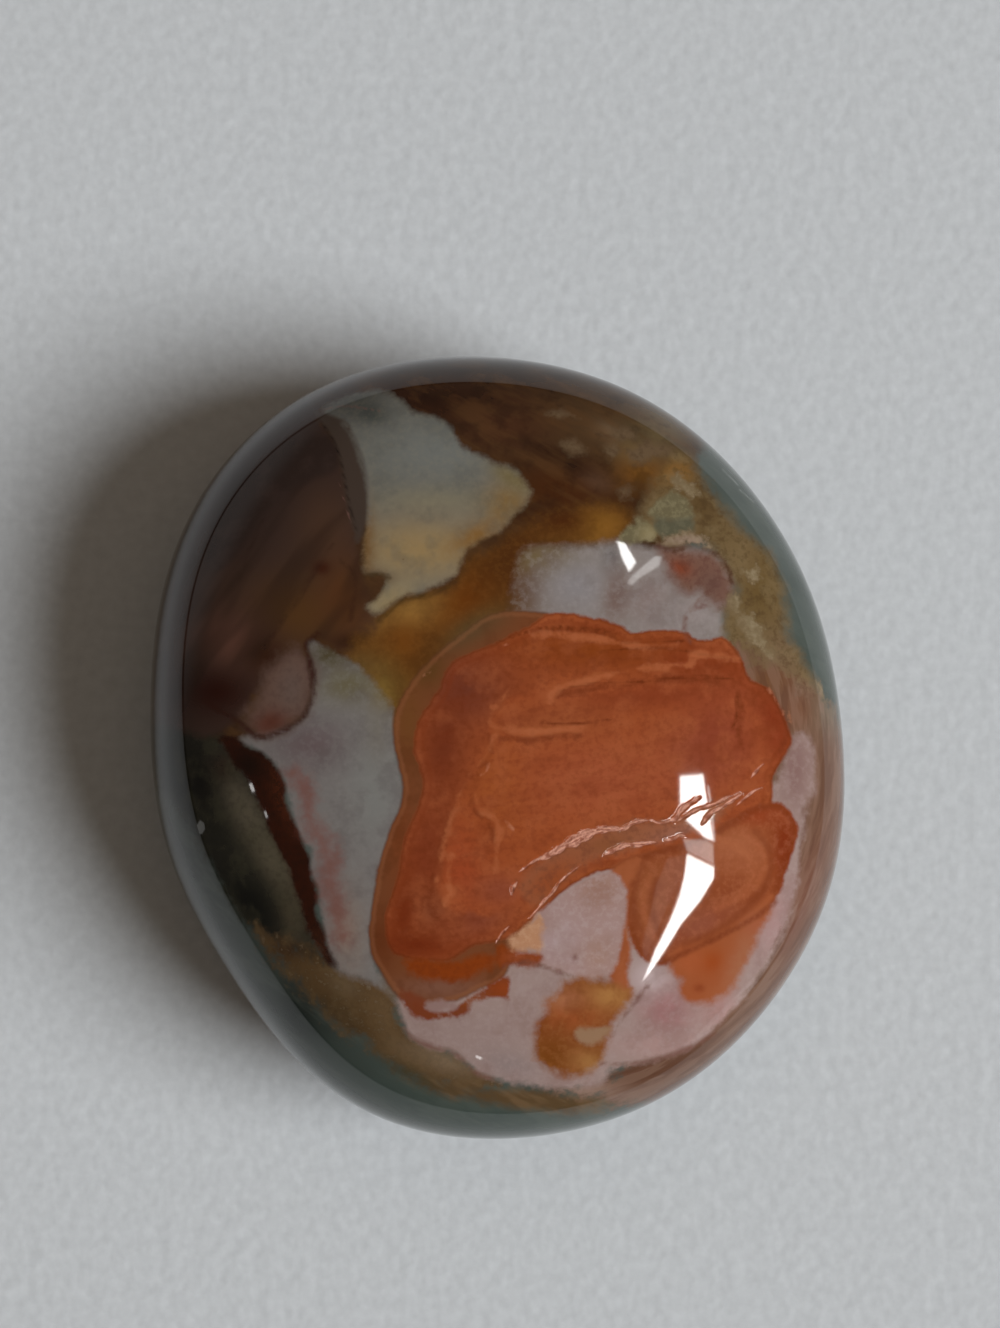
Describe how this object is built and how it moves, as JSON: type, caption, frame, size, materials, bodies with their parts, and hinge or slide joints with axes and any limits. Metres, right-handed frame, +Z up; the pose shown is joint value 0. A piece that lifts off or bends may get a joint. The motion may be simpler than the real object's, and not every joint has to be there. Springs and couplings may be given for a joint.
{
  "type": "polychrome jasper palm stone",
  "caption": "Polished rounded pebble of banded multicoloured jasper that fits in the palm and rests on a small flat spot.",
  "frame": {"origin": "under the middle of the stone, on the plane of the flat spot it rests on", "axes": "+Z up through the crown, +Y along the stone's longer side, +X across it, as seen in the picture from above with +Y up the picture"},
  "size_m": [0.0616, 0.0694, 0.029],
  "materials": {
    "jasper": "high polish"
  },
  "bodies": {
    "root": {"stone": "jasper"}
  },
  "joints": []
}
